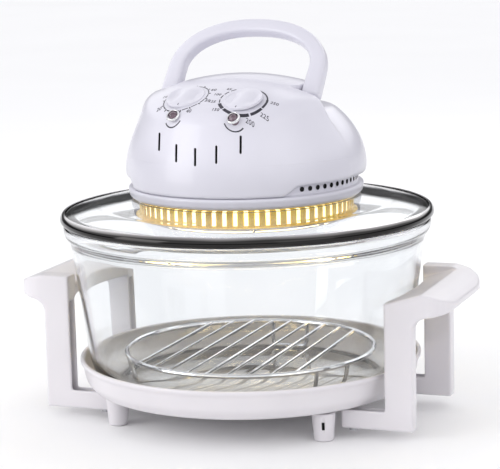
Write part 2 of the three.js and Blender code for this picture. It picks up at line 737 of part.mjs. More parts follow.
const KNOB_LIFT = 1.6; // clearance under a knob
for (const [name, side] of [["timer", -1], ["thermostat", 1]]) {
  const x = side * DIAL_X;
  piece(head, name + "_knob", onPanel(knob().translate([0, 0, KNOB_LIFT]), x, DIAL_Y), white);
  piece(head, name + "_spindle", onPanel(cylinder(3, -18, 5.4, 0, 0, 12), x, DIAL_Y), dullSteel);
  const drum = cut(
    union(cylinder(17, -34, -19), box([-19, -12, -36], [19, 12, -24])),
    cylinder(3.4, -26, -10, 0, 0, 16),
  );
  const unitMaterial = name === "timer" ? ceramic : dullSteel;
  piece(head, name + "_unit", onPanel(drum.translate([0, 0, 0.4]), x, DIAL_Y), unitMaterial);
}

/** An indicator's clear dome and the bezel round it. */
const lens = () => lathe([[0, -12], [4, -12], [4, 1.5], [3.4, 3], [2, 4.2], [0, 4.7]], 20);
const bezel = () => lathe([[4.3, 0.3], [6.2, 0.3], [5.9, 1.6], [5, 2.4], [4.3, 2.2]], 20);
for (const [name, side] of [["power", -1], ["heat", 1]]) {
  const at = (body) => onPanel(body, side * INDICATOR_X, INDICATOR_Y, INDICATOR_TILT, INDICATOR_DROP);
  piece(head, name + "_indicator_lens", at(lens()), smoke);
  piece(head, name + "_indicator_bezel", at(bezel().translate([0, 0, 0.8])), steel);
}

// ---------- carry handle ----------
/** The bail's outline in its own plane: straight legs, a round arch and round hubs at the pivots. */
function carryHandle() {
  const arch = (half, rise) => {
    const points = [];
    for (let i = 0; i <= 20; i++) {
      const a = (Math.PI * i) / 20;
      points.push(point(half * Math.cos(a), BAIL_LEG + rise * Math.sin(a)));
    }
    return points;
  };
  const [outside, inside] = [BAIL_X + BAIL_FOOT / 2, BAIL_X - BAIL_FOOT / 2];
  const over = arch(outside, BAIL_ARCH + BAIL_BAR / 2);
  const under = arch(inside, BAIL_ARCH - BAIL_BAR / 2).reverse();
  const outer = [point(outside, -6.5), ...over, point(-outside, -6.5)];
  const shape = new THREE.Shape([...outer, point(-inside, -6.5), ...under, point(inside, -6.5)]);
  const bevel = 3;
  const bar = new THREE.ExtrudeGeometry(shape, {
    depth: BAIL_DEPTH - 2 * bevel,
    bevelThickness: bevel,
    bevelSize: bevel,
    bevelOffset: -bevel,
    bevelSegments: 2,
  });
  const upright = solid(bar.translate(0, 0, bevel - BAIL_DEPTH / 2).rotateX(Math.PI / 2));
  return cut(upright, wireBetween([-90, 0, 0], [90, 0, 0], 3.5, 16));
}

const bail = new THREE.Group();
bail.position.set(0, PIVOT_Y, PIVOT_Z);
bail.rotation.x = radians(-BAIL_LEAN);
head.add(bail);
piece(bail, "carry_handle", carryHandle(), white);
piece(bail, "handle_pin_left", wireBetween([-BAIL_X - 7, 0, 0], [-SADDLE_X + 5, 0, 0], 3.1, 16), steel);
piece(bail, "handle_pin_right", wireBetween([SADDLE_X - 5, 0, 0], [BAIL_X + 7, 0, 0], 3.1, 16), steel);

/** The safety switch that the handle's cam works, on the inside of the housing. */
const safetySwitch = box(
  [SADDLE_X - 26, PIVOT_Y - 6, PIVOT_Z - 16],
  [SADDLE_X - 8, PIVOT_Y + 6, PIVOT_Z - 6],
);
piece(head, "safety_switch", safetySwitch, black);

export default root;
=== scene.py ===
"""Looks of a glass bowl convection oven: white moulded stand and head, clear glass, bright steel.

Lengths are in millimetres and become metres where a mesh is made. The head is turned on the bowl by
HEAD_YAW, so its shapes are worked out square to the axes and turned as the last thing.
"""
import json
import math

import bmesh
import bpy
import numpy as np
from mathutils import Matrix, Vector


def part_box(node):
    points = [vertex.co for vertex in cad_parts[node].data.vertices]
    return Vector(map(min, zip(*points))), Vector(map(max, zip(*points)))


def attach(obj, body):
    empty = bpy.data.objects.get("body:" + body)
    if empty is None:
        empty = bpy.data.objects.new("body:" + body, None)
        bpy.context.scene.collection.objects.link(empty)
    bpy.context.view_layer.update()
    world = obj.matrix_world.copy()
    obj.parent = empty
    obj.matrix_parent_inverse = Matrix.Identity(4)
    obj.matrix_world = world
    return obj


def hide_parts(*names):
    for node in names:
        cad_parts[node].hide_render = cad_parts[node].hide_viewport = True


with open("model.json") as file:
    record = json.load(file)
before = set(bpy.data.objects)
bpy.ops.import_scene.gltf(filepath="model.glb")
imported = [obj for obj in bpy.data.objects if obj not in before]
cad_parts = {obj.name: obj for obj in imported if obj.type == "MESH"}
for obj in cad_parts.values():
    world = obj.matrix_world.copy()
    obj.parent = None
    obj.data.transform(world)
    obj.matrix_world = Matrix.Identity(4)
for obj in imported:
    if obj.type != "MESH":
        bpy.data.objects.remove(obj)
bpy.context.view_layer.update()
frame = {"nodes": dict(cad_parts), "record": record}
MM = 0.001


def low(node):
    """Lowest corner of a CAD node, in millimetres."""
    return np.array(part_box(node)[0]) / MM


def high(node):
    """Highest corner of a CAD node, in millimetres."""
    return np.array(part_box(node)[1]) / MM


# ---------- sizes taken from the frame ----------
TRAY_R = high("tray")[0]
TRAY_RIM_Z = high("tray")[2]
TRAY_UNDER_Z = high("foot_front_left")[2] + 0.3
BOWL_FOOT_Z = low("bowl")[2]
BOWL_RIM_Z = high("bowl")[2]
BOWL_RIM_R = high("bowl")[0]
LID_R = high("lid_rim_band")[0]
BAND_Z = low("lid_rim_band")[2]
LID_TOP_Z = high("lid_glass")[2]
RING_FOOT_Z = low("base_ring")[2]
NECK_TOP_Z = high("base_ring")[2]
RING_R = high("base_ring")[0]
SKIRT_FOOT_Z = low("guard_skirt")[2]
SKIRT_TOP_Z = high("guard_skirt")[2]

# ---------- sizes of the head ----------
HEAD_YAW = math.radians(-5)
NECK_R = 100.2
RING_TOP_Z = 208.5
SKIRT_R = 95.5
DOME_R = 107.8
DOME_Z = 224
DOME_RISE = 77
DOME_FOOT_Z = 217.5
FRONT_TUCK = 0.065
APRON_FOOT_Z = 209.2
LEDGE_Z = 277
POD_FOOT_R = 104.4
POD_EDGE_R = 89.8
POD_EDGE_Z = 279
CREST_Z = 305.8
CREST_RADIUS_Y = 147
CREST_RADIUS_X = 216
SADDLE_X = 59.3
SADDLE_BACK = 50
SADDLE_POWER = 2.6
LEG_GAP_Y = -20
PANEL_TILT = math.radians(24)
PANEL_X = 2.8
DIAL_X = 27.5
DIAL_Y = -64
KNOB_R = 17
KNOB_LIFT = 1.1
INDICATOR_X = 28.6
INDICATOR_Y = -85.5
INDICATOR_TILT = math.radians(46)
INDICATOR_DROP = 3.2
PIVOT_Y = -6
PIVOT_Z = 290.6
BAIL_X = 68.8
BAIL_LEG = 22
BAIL_ARCH = 43.7
BAIL_LEAN = math.radians(36.8)
SLOT_ANGLES = (-23.6, -11.3, 0, 11.3, 23.6)
SLOT_PULL = math.radians(20 - 90)
SLOT_R = 97
SLOT_LOWEST_Z = 244.2
SLOT_RISE = 10.4
SLOT_HALF_WIDTH = 0.95
SLOT_HALF_LENGTH = 6.55
VENT_FIRST = 54
VENT_PITCH = 4.7
VENTS_PER_SIDE = 12
VENT_R = 2.2
VENT_Z = 214
SKIRT_BARS = 64
PRINT_RING_R = 20.4
PRINT_DEEP = -0.3
PRINT_PROUD = 0.14


# ---------- materials ----------
class Finish:
    """A node tree round one Principled shader, with patterns read from Object coordinates."""

    def __init__(self, name, **sockets):
        self.material = bpy.data.materials.new(name)
        self.material.use_nodes = True
        self.nodes = self.material.node_tree.nodes
        self.links = self.material.node_tree.links
        self.shader = self.nodes["Principled BSDF"]
        for socket, value in sockets.items():
            self.shader.inputs[socket.replace("_", " ")].default_value = value
        self.place = self.nodes.new("ShaderNodeTexCoord").outputs["Object"]

    def noise(self, scale, detail=3, stretch=(1, 1, 1)):
        """Smooth noise whose grains are 1/scale metres across, stretched along the axes."""
        mapping = self.nodes.new("ShaderNodeMapping")
        mapping.inputs["Scale"].default_value = stretch
        self.links.new(self.place, mapping.inputs["Vector"])
        node = self.nodes.new("ShaderNodeTexNoise")
        node.inputs["Scale"].default_value = scale
        node.inputs["Detail"].default_value = detail
        self.links.new(mapping.outputs[0], node.inputs["Vector"])
        return node.outputs["Fac"]

    def tint(self, fac, first, second, begin=0.3, end=0.7, socket="Base Color"):
        """Colours a socket from first to second as the pattern goes from begin to end."""
        ramp = self.nodes.new("ShaderNodeValToRGB")
        ramp.color_ramp.elements[0].position = begin
        ramp.color_ramp.elements[1].position = end
        ramp.color_ramp.elements[0].color = (*first, 1)
        ramp.color_ramp.elements[1].color = (*second, 1)
        self.links.new(fac, ramp.inputs["Fac"])
        self.links.new(ramp.outputs["Color"], self.shader.inputs[socket])
        return self

    def rough(self, fac, least, most):
        """Roughness that runs from least to most with the pattern."""
        span = self.nodes.new("ShaderNodeMapRange")
        span.inputs["From Min"].default_value = 0.3
        span.inputs["From Max"].default_value = 0.7
        span.inputs["To Min"].default_value = least
        span.inputs["To Max"].default_value = most
        self.links.new(fac, span.inputs["Value"])
        self.links.new(span.outputs["Result"], self.shader.inputs["Roughness"])
        return self

    def bump(self, fac, depth_mm, strength=0.5):
        """Relief of the given depth."""
        node = self.nodes.new("ShaderNodeBump")
        node.inputs["Strength"].default_value = strength
        node.inputs["Distance"].default_value = depth_mm * MM
        self.links.new(fac, node.inputs["Height"])
        self.links.new(node.outputs["Normal"], self.shader.inputs["Normal"])
        return self


def white_plastic(name="white_moulded_plastic", first=(0.64, 0.63, 0.7), second=(0.69, 0.68, 0.75)):
    """Glossy moulded plastic, a cool white with the faint orange-peel of its mould."""
    made = Finish(name, Coat_Weight=0.35, Coat_Roughness=0.12, IOR=1.46)
    made.tint(made.noise(14, 2), first, second)
    made.rough(made.noise(60, 3), 0.3, 0.4)
    return made.bump(made.noise(420, 2), 0.05, 0.25).material


def housing_plastic():
    """The same white, with the fine moulding line round the housing's sides as a shallow groove."""
    material = white_plastic()
    material.name = "white_housing_plastic"
    nodes, links = material.node_tree.nodes, material.node_tree.links
    split = nodes.new("ShaderNodeSeparateXYZ")
    side = nodes.new("ShaderNodeMath")
    line = nodes.new("ShaderNodeMapRange")
    reach = nodes.new("ShaderNodeMath")
    links.new(nodes["Texture Coordinate"].outputs["Object"], split.inputs[0])
    reach.operation = "MULTIPLY"
    links.new(split.outputs["X"], reach.inputs[0])
    links.new(split.outputs["X"], reach.inputs[1])
    side.operation = "COMPARE"
    side.inputs[1].default_value = 236 * MM
    side.inputs[2].default_value = 0.45 * MM
    links.new(split.outputs["Z"], side.inputs[0])
    line.inputs["From Min"].default_value = 0.0012
    line.inputs["From Max"].default_value = 0.0036
    line.inputs["To Max"].default_value = -1.0
    links.new(reach.outputs[0], line.inputs["Value"])
    groove = nodes.new("ShaderNodeMath")
    groove.operation = "MULTIPLY"
    links.new(side.outputs[0], groove.inputs[0])
    links.new(line.outputs["Result"], groove.inputs[1])
    bump = nodes.new("ShaderNodeBump")
    bump.inputs["Strength"].default_value = 0.5
    bump.inputs["Distance"].default_value = 0.25 * MM
    links.new(groove.outputs[0], bump.inputs["Height"])
    links.new(nodes["Bump"].outputs["Normal"], bump.inputs["Normal"])
    links.new(bump.outputs["Normal"], nodes["Principled BSDF"].inputs["Normal"])
    return material


def clear_glass():
    """Pressed glass, faintly blue-grey, with slow waves in its faces."""
    made = Finish("clear_pressed_glass", Transmission_Weight=1.0, IOR=1.46)
    made.tint(made.noise(9, 1), (0.91, 0.925, 0.935), (0.955, 0.965, 0.97))
    made.rough(made.noise(20, 2), 0.0, 0.015)
    return made.bump(made.noise(16, 1), 0.25, 0.12).material


def bright_steel(name="bright_steel", tone=0.78):
    """Plated, polished steel with a little haze."""
    made = Finish(name, Metallic=1.0)
    made.tint(made.noise(25, 3), (tone * 0.93, tone * 0.93, tone * 0.95), (tone, tone, tone * 1.01))
    made.rough(made.noise(70, 4), 0.06, 0.14)
    return made.bump(made.noise(500, 2), 0.02, 0.15).material


def band_with_painted_reflection():
    """Polished steel band with a painted reflection in its base colour: near-black through the middle
    of its height, bright at its two rolled edges, with a wavering boundary.
    """
    made = Finish("rim_band_painted_reflection", Metallic=1.0)
    split = made.nodes.new("ShaderNodeSeparateXYZ")
    made.links.new(made.place, split.inputs[0])
    level = made.nodes.new("ShaderNodeMapRange")
    level.inputs["From Min"].default_value = BAND_Z * MM
    level.inputs["From Max"].default_value = (BAND_Z + 9.8) * MM
    made.links.new(split.outputs["Z"], level.inputs["Value"])
    waver = made.nodes.new("ShaderNodeMath")
    waver.operation = "MULTIPLY_ADD"
    waver.inputs[1].default_value = 0.22
    waver.inputs[2].default_value = -0.11
    made.links.new(made.noise(12, 2), waver.inputs[0])
    height = made.nodes.new("ShaderNodeMath")
    made.links.new(level.outputs["Result"], height.inputs[0])
    made.links.new(waver.outputs[0], height.inputs[1])
    # painted reflection: colour by height, dark through the middle of the band and light at both
    # edges, standing in for dark surroundings mirrored in it
    made.tint(height.outputs[0], (0.62, 0.6, 0.6), (0.7, 0.69, 0.7), 0.0, 1.0)
    painted_reflection_stops = made.nodes["Color Ramp"].color_ramp.elements
    for position, tone in ((0.1, 0.1), (0.22, 0.03), (0.7, 0.035), (0.86, 0.3)):
        painted_reflection_stops.new(position).color = (tone, tone * 0.96, tone * 0.95, 1)
    return made.rough(made.noise(70, 4), 0.06, 0.13).material


def plain_steel():
    """Sheet and bar steel, brushed along one way."""
    made = Finish("brushed_sheet_steel", Metallic=1.0, Anisotropic=0.4)
    made.tint(made.noise(40, 4), (0.42, 0.42, 0.44), (0.56, 0.56, 0.58))
    grain = made.noise(600, 3, (0.05, 1, 1))
    made.rough(made.noise(90, 3), 0.26, 0.42)
    return made.bump(grain, 0.04, 0.4).material


def gold_skirt_with_painted_glow():
    """Gold anodised sheet with a painted glow: its emission stands in for the lamp's light behind it.
    """
    made = Finish("gold_sheet_with_painted_glow", Metallic=0.8, Emission_Strength=0.5)
    made.tint(made.noise(60, 3), (0.45, 0.26, 0.015), (0.66, 0.41, 0.03))
    # painted glow: warm emission colour on the metal sheet, which is no lamp
    made.tint(made.noise(45, 2), (0.6, 0.36, 0.0), (1.0, 0.72, 0.04), socket="Emission Color")
    return made.rough(made.noise(80, 3), 0.2, 0.34).material


def lamp_light(name, strength, warm):
    """Quartz glass lit from inside, uneven along its length; the same emission also makes the painted
    glow of the sheet behind the skirt, which is no lamp.
    """
    made = Finish(name, Roughness=0.2, Emission_Strength=strength)
    made.tint(made.noise(30, 2), (1.0, 0.83, 0.5), (1.0, 0.95, 0.8))
    made.tint(made.noise(55, 2), warm, (1.0, 0.9, 0.62), socket="Emission Color")
    return made.rough(made.noise(60, 2), 0.1, 0.3).material


def ceramic():
    """Unglazed ceramic with fine pores."""
    made = Finish("unglazed_ceramic")
    made.tint(made.noise(120, 4), (0.66, 0.62, 0.54), (0.8, 0.77, 0.7))
    made.rough(made.noise(200, 3), 0.65, 0.85)
    return made.bump(made.noise(900, 3), 0.06, 0.6).material


def dark_plastic(name="matt_black_plastic", tone=0.02):
    """Matt black moulding; at a very low tone it is the painted shade on the walls of cut holes."""
    made = Finish(name)
    made.tint(made.noise(50, 3), (tone, tone, tone * 1.1), (tone * 2, tone * 2, tone * 2.1))
    made.rough(made.noise(160, 3), 0.45, 0.65)
    return made.bump(made.noise(700, 2), 0.05, 0.4).material


def print_ink():
    """Black pad-printed ink, a little uneven."""
    made = Finish("panel_ink")
    made.tint(made.noise(300, 3), (0.012, 0.012, 0.02), (0.04, 0.035, 0.055))
    return made.rough(made.noise(200, 2), 0.35, 0.5).material


def smoked_lens():
    """Smoked plum glass of an indicator, darker in patches."""
    made = Finish("smoked_lens", Transmission_Weight=0.35, IOR=1.5)
    made.shader.inputs["Coat Weight"].default_value = 0.6
    made.shader.inputs["Coat Roughness"].default_value = 0.03
    made.tint(made.noise(180, 2), (0.1, 0.05, 0.075), (0.42, 0.3, 0.36))
    return made.rough(made.noise(90, 2), 0.04, 0.12).material


def pale_floor():
    """Seamless pale paper."""
    made = Finish("pale_paper")
    made.tint(made.noise(2, 2), (0.93, 0.93, 0.93), (0.945, 0.945, 0.945))
    return made.rough(made.noise(40, 3), 0.75, 0.9).material


WHITE = white_plastic()
STAND_WHITE = white_plastic("white_stand_plastic", (0.71, 0.685, 0.715), (0.75, 0.725, 0.755))
HOUSING = housing_plastic()
GLASS = clear_glass()
CHROME = bright_steel()
# the band's material carries a painted reflection
BAND = band_with_painted_reflection()
WIRE = bright_steel("plated_wire", 0.7)
STEEL = plain_steel()
# the skirt's material carries a painted glow
GOLD_WITH_PAINTED_GLOW = gold_skirt_with_painted_glow()
LAMP = lamp_light("lit_quartz_tube", 9.0, (1.0, 0.72, 0.32))
# painted glow: an emitting sheet behind the skirt stands in for the lamp's light seen between its
# bars
PAINTED_GLOW_SHEET = lamp_light("lamp_glow_painted_on_sheet", 2.3, (1.0, 0.84, 0.36))
CERAMIC = ceramic()
BLACK = dark_plastic()
# painted shade: near-black walls inside cut vents, slots and pockets, where the plastic lies in shade
SHADE = dark_plastic("painted_shade_in_cuts", 0.008)
RUBBER = dark_plastic("black_rubber", 0.03)
INK = print_ink()
LENS = smoked_lens()


# ---------- meshes ----------
def turned(points):
    """Points turned about the upright axis by the head's yaw."""
    points = np.asarray(points, float)
    c, s = math.cos(HEAD_YAW), math.sin(HEAD_YAW)
    x, y = points[..., 0], points[..., 1]
    return np.stack([c * x - s * y, s * x + c * y, points[..., 2]], -1)


def tipped(points, angle):
    """Points turned about the X axis."""
    points = np.asarray(points, float)
    c, s = math.cos(angle), math.sin(angle)
    y, z = points[..., 1], points[..., 2]
    return np.stack([points[..., 0], c * y - s * z, s * y + c * z], -1)


def grid_faces(rows, columns, wrap_rows=False, wrap_columns=False):
    """The quads between neighbouring points of a grid that is stored row by row."""
    i = np.arange(rows if wrap_rows else rows - 1)[:, None]
    j = np.arange(columns if wrap_columns else columns - 1)[None, :]
    i2, j2 = (i + 1) % rows, (j + 1) % columns
    corners = (i * columns + j, i * columns + j2, i2 * columns + j2, i2 * columns + j)
    quads = np.stack(np.broadcast_arrays(*corners), -1)
    return quads.reshape(-1, 4)


def object_of(name, points, faces, material, crease=35):
    """A mesh object from millimetre points: doubles merged, faces outwards, shaded smooth."""
    mesh = bpy.data.meshes.new(name)
    points = np.asarray(points, float).reshape(-1, 3) * MM
    mesh.from_pydata(points.tolist(), [], np.asarray(faces).tolist())
    work = bmesh.new()
    work.from_mesh(mesh)
    bmesh.ops.remove_doubles(work, verts=work.verts, dist=2e-6)
    bmesh.ops.dissolve_degenerate(work, dist=1e-7, edges=work.edges)
    bmesh.ops.recalc_face_normals(work, faces=work.faces)
    work.to_mesh(mesh)
    work.free()
    mesh.shade_smooth()
    mesh.set_sharp_from_angle(angle=math.radians(crease))
    mesh.materials.append(material)
    piece = bpy.data.objects.new(name, mesh)
    bpy.context.scene.collection.objects.link(piece)
    return piece


def stand_for(piece, body, slot, *nodes):
    """Puts a piece on its body in place of CAD nodes. The slot argument is not used."""
    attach(piece, body)
    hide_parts(*nodes)
    return piece


def softened(profile, radius, steps=5):
    """A closed outline, each corner swapped for a curve from a radius before it to one after."""
    points = np.asarray(profile, float)
    count = len(points)
    out = []
    for i in range(count):
        here, before, after = points[i], points[i - 1], points[(i + 1) % count]
        reach = [min(radius, 0.45 * np.hypot(*(p - here))) for p in (before, after)]
        a = here + (before - here) / np.hypot(*(before - here)) * reach[0]
        b = here + (after - here) / np.hypot(*(after - here)) * reach[1]
        t = np.linspace(0, 1, steps)[:, None]
        out.append(a * (1 - t) ** 2 + here * 2 * t * (1 - t) + b * t ** 2)
    return np.concatenate(out)


def lathed(profile, segments=180):
    """Points and faces of a closed (radius, height) profile turned about the upright axis."""
    profile = np.asarray(profile, float)
    a = np.arange(segments) * (2 * math.pi / segments)
    r, z = profile[:, 0][None, :], profile[:, 1][None, :]
    points = np.stack(np.broadcast_arrays(r * np.cos(a)[:, None], r * np.sin(a)[:, None], z), -1)
    return points.reshape(-1, 3), grid_faces(segments, len(profile), True, True)


def tube(path, radius, sides=10, closed=False):
    """A round wire along a path: circles square to it, with their up the world's Z or X."""
    path = np.asarray(path, float)
    if closed:
        along = np.roll(path, -1, 0) - np.roll(path, 1, 0)
    else:
        along = np.gradient(path, axis=0)
    along /= np.linalg.norm(along, axis=1)[:, None]
    up = np.array([0, 0, 1.0]) if np.abs(along[:, 2]).max() < 0.9 else np.array([0.31, 0.95, 0.0])
    side = np.cross(along, up)
    side /= np.linalg.norm(side, axis=1)[:, None]
    rise = np.cross(side, along)
    a = np.arange(sides) * (2 * math.pi / sides)
    ring = side[:, None] * np.cos(a)[None, :, None] + rise[:, None] * np.sin(a)[None, :, None]
    points = path[:, None] + radius * ring
    if closed:
        return points.reshape(-1, 3), grid_faces(len(path), sides, True, True)
    caps = [np.repeat(end[None, None], sides, 1) for end in (path[0], path[-1])]
    points = np.concatenate([caps[0], points, caps[1]])
    return points.reshape(-1, 3), grid_faces(len(points), sides, False, True)


def joined(parts):
    """Several sets of points and quads as one."""
    points, faces, count = [], [], 0
    for p, f in parts:
        points.append(np.asarray(p, float).reshape(-1, 3))
        faces.append(np.asarray(f) + count)
        count += len(points[-1])
    return np.concatenate(points), np.concatenate(faces)


def circle(radius, z, count=96, start=0.0, end=360.0):
    """Points round a level circle, without its end point when it is whole."""
    whole = abs(end - start) >= 360
    a = np.radians(np.linspace(start, end, count, endpoint=not whole))
    return np.stack([radius * np.cos(a), radius * np.sin(a), np.full(count, float(z))], -1)


def baked_mesh(piece):
    """A mesh of the piece as its modifiers or its text settings shape it."""
    bpy.context.view_layer.update()
    shaped = piece.evaluated_get(bpy.context.evaluated_depsgraph_get())
    return bpy.data.meshes.new_from_object(shaped)


def cut_with(piece, points, faces, inner):
    """Cuts one mesh from another for good, and gives the cut faces the inner material."""
    tool = object_of(piece.name + "_cutter", points, faces, inner)
    piece.data.materials.append(inner)
    tool.data.materials.append(inner)
    tool.data.polygons.foreach_set("material_index", [1] * len(tool.data.polygons))
    step = piece.modifiers.new("cut", "BOOLEAN")
    step.object = tool
    step.solver = "EXACT"
    result = baked_mesh(piece)
    piece.modifiers.clear()
    old = piece.data
    piece.data = result
    bpy.data.meshes.remove(old)
    bpy.data.objects.remove(tool)
    return piece


def rounded_copy(node, name, voxel_mm, rounds):
    """A CAD node's shape with its edges rounded: an even skin of small quads, relaxed a few times."""
    mesh = frame["nodes"][node].data.copy()
    mesh.name = name
    piece = bpy.data.objects.new(name, mesh)
    bpy.context.scene.collection.objects.link(piece)
    weld = bmesh.new()
    weld.from_mesh(mesh)
    bmesh.ops.remove_doubles(weld, verts=weld.verts, dist=1e-6)
    weld.to_mesh(mesh)
    weld.free()
    skin = piece.modifiers.new("skin", "REMESH")
    skin.mode = "VOXEL"
    skin.voxel_size = voxel_mm * MM
    relax = piece.modifiers.new("relax", "SMOOTH")
    relax.factor = 0.5
    relax.iterations = rounds
    result = baked_mesh(piece)
    piece.modifiers.clear()
    piece.data = result
    bpy.data.meshes.remove(mesh)
    result.shade_smooth()
    result.materials.clear()
    result.materials.append(STAND_WHITE)
    return piece


# ---------- stand ----------
def make_tray():
    """A dish turned from its section: flat floor, curved side and a rolled lip."""
    under, rim = TRAY_UNDER_Z, TRAY_RIM_Z
    section = [
        (0.01, under), (132, under), (143, under + 3), (149.5, under + 11), (152, rim - 6),
        (TRAY_R, rim - 3.4), (TRAY_R, rim - 0.6), (TRAY_R - 2.2, rim), (TRAY_R - 4.4, rim - 1.2),
        (149, rim - 7), (146.2, under + 13), (140, under + 6), (130, under + 3), (0.01, under + 3),
    ]
    piece = object_of("tray_dish", *lathed(softened(section, 3), 220), STAND_WHITE)
    return stand_for(piece, "stand", "white_plastic", "tray")


def make_foot(node):
    """A round peg that narrows to a softly edged sole; two of the four have a small pocket."""
    lowest, highest = low(node), high(node)
    middle = (lowest + highest) / 2
    top, tip = (highest[0] - lowest[0]) / 2, (highest[0] - lowest[0]) / 2 - 2
    outline = [(0.01, 0), (tip, 0), (top, highest[2]), (0.01, highest[2])]
    points, faces = lathed(softened(outline, 1.6), 48)
    piece = object_of(node + "_peg", points + [middle[0], middle[1], 0], faces, STAND_WHITE)
    if node in ("foot_front_right", "foot_rear_left"):
        way = np.sign(middle[0])
        pocket = [(middle[0] + way * 2.6 + dx, middle[1] - way * 6 + dy, 14.2 + dz)
                  for dx in (-1.2, 1.2) for dy in (-6, 6) for dz in (-3.4, 3.4)]
        block = [(0, 1, 3, 2), (4, 6, 7, 5), (0, 4, 5, 1), (2, 3, 7, 6), (0, 2, 6, 4), (1, 5, 7, 3)]
        # the pocket's walls take the painted shade
        cut_with(piece, pocket, block, SHADE)
    return stand_for(piece, "stand", "white_plastic", node)


def make_stand():
    make_tray()
    for node in ("foot_front_left", "foot_front_right", "foot_rear_left", "foot_rear_right"):
        make_foot(node)
    for side in ("left", "right"):
        node = "side_handle_" + side
        stand_for(rounded_copy(node, node + "_moulding", 1.15, 7), "stand", "white_plastic", node)


# ---------- bowl and rack ----------
def make_bowl():
    """Thick glass turned from its section: flat foot, round heel, flared wall and a beaded rim."""
    foot, rim, wall = BOWL_FOOT_Z, BOWL_RIM_Z, 4.5
    section = [
        (0.01, foot + 0.6), (112, foot + 0.6), (116, foot), (122, foot), (132, foot + 5),
        (141, foot + 14), (145, foot + 26), (158.5, 160), (BOWL_RIM_R, 168), (BOWL_RIM_R, rim),
        (157, rim), (154.2, 160), (145 - wall, foot + 26), (134, foot + 13), (120, foot + wall),
        (0.01, foot + wall),
    ]
    piece = object_of("glass_bowl", *lathed(softened(section, 5, 7), 220), GLASS, 60)
    return stand_for(piece, "bowl", "clear_glass", "bowl")


def make_rack():
    """A hoop and parallel bars of plated wire on three bent legs."""
    top, reach = high("rack")[2] - 2.2, 112.0
    floor = low("rack")[2] + 1.8
    parts = [tube(circle(reach, top), 2.2, 10, True)]
    for i in range(-4, 5):
        x = 18.0 * i
        half = math.sqrt(reach ** 2 - x ** 2)
        wire = 1.8 if i % 2 == 0 else 1.3
        parts.append(tube([(x, y, top) for y in np.linspace(-half, half, 6)], wire, 8))
    for i in range(3):
        corners = ((reach, 81, top), (reach - 4, 81, floor), (reach - 4, 99, floor), (reach, 99, top))
        bend = [(r * math.cos(math.radians(a + 120 * i)), r * math.sin(math.radians(a + 120 * i)), z)
                for r, a, z in corners]
        parts.append(tube(softened_path(bend, 5), 1.8, 8))
    piece = object_of("rack_wires", *joined(parts), WIRE)
    return stand_for(piece, "rack", "chrome_wire", "rack")


def softened_path(points, radius, steps=6):
    """An open path in space with its corners rounded."""
    points = np.asarray(points, float)
    out = [points[:1]]
    for before, here, after in zip(points, points[1:], points[2:]):
        a = here + (before - here) / np.linalg.norm(before - here) * radius
        b = here + (after - here) / np.linalg.norm(after - here) * radius
        t = np.linspace(0, 1, steps)[:, None]
        out.append(a * (1 - t) ** 2 + here * 2 * t * (1 - t) + b * t ** 2)
    return np.concatenate(out + [points[-1:]])


# ---------- lid ----------
def make_lid():
    """A shallow glass cone with its hole, and the folded band that grips its edge."""
    hole, thick, under = 97.5, 4.0, BAND_Z
    section = [
        (hole, LID_TOP_Z), (101, LID_TOP_Z - 0.2), (132, 192.5), (160.5, 186), (163, 184.9),
        (164.3, 183.5), (164.3, under + 1.2), (158.5, under + 1.2), (156, 183.2),
        (132, 192.5 - thick), (101, LID_TOP_Z - 0.2 - thick), (hole, LID_TOP_Z - thick),
    ]
    glass = object_of("lid_cone", *lathed(softened(section, 1.8), 220), GLASS, 60)
    stand_for(glass, "lid", "clear_glass", "lid_glass")
    band = [
        (157.5, under), (LID_R - 2.4, under), (LID_R, under + 2.4), (LID_R, under + 5.6),
        (LID_R - 2, under + 9), (162.5, under + 9.8), (162.5, under + 8.9), (166.2, under + 5.9),
        (166.2, under + 0.9), (157.5, under + 0.9),
    ]
    steel = object_of("lid_band", *lathed(softened(band, 2.2, 6), 220), BAND, 50)
    stand_for(steel, "lid", "chrome", "lid_rim_band")


